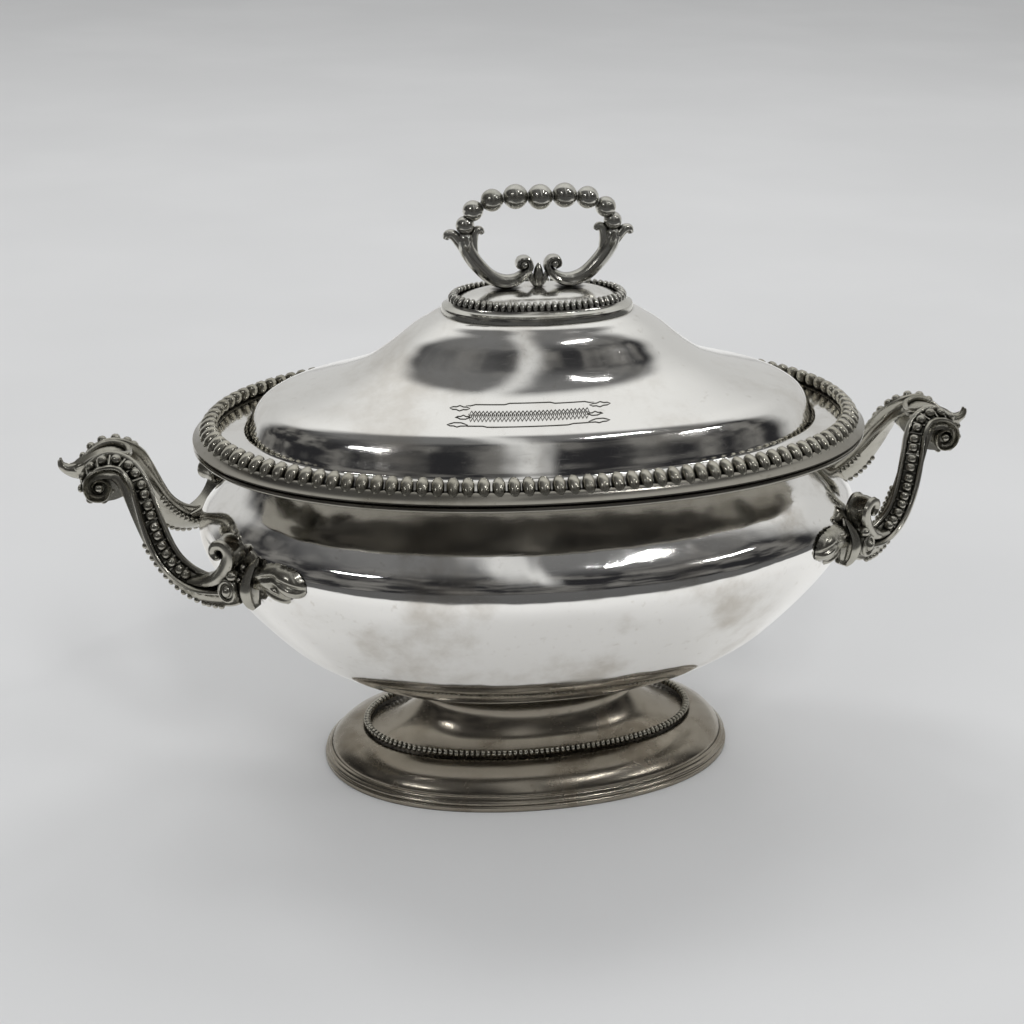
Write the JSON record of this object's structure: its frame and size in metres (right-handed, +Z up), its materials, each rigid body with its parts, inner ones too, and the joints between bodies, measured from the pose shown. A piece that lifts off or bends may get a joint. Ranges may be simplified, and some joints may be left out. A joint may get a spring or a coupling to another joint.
{
  "type": "soup tureen",
  "caption": "Oval silver-plated soup tureen on a waisted oval foot, with beaded borders, two forked scroll handles and a lift-off domed lid with a beaded loop handle.",
  "frame": {"origin": "centre of the oval foot on the table", "axes": "+X along the long axis through both side handles, +Y to the back, +Z up"},
  "size_m": [0.4072, 0.1868, 0.265],
  "materials": {
    "silver_sheet": "polished silver plate with fine scratches and slight tarnish",
    "moulded_silver": "polished silver plate, darker in the grooves",
    "beaded_silver": "silver plate with tarnish between the beads",
    "cast_silver": "cast silver plate, pewter grey with tarnish in the crevices",
    "foot_silver": "silver plate with brownish tarnish",
    "stud_brass": "dull brass"
  },
  "bodies": {
    "tureen": {"bowl": "silver_sheet", "bowl_rim_moulding": "moulded_silver", "bowl_rim_beading": "beaded_silver", "foot_shell": "foot_silver", "foot_rim_moulding": "foot_silver", "foot_beading": "beaded_silver", "left_handle_front_arm": "cast_silver", "left_handle_rear_arm": "cast_silver", "left_handle_front_leaf": "cast_silver", "left_handle_rear_leaf": "cast_silver", "left_handle_head": "cast_silver", "right_handle_front_arm": "cast_silver", "right_handle_rear_arm": "cast_silver", "right_handle_front_leaf": "cast_silver", "right_handle_rear_leaf": "cast_silver", "right_handle_head": "cast_silver"},
    "lid": {"lid_dome": "silver_sheet", "lid_bezel": "silver_sheet", "lid_crown_moulding": "moulded_silver", "lid_crown_beading": "beaded_silver", "lid_crown_plate": "silver_sheet", "lid_handle_left_scroll": "cast_silver", "lid_handle_right_scroll": "cast_silver", "lid_handle_leaf": "cast_silver", "lid_handle_beads": "cast_silver", "lid_handle_studs": "stud_brass", "lid_handle_washers": "stud_brass", "lid_handle_nuts": "stud_brass"}
  },
  "joints": [
    {"name": "lid_lift", "type": "slide", "parent": "tureen", "child": "lid", "axis": [0, 0, 1], "range_m": [0, 0.15]}
  ]
}
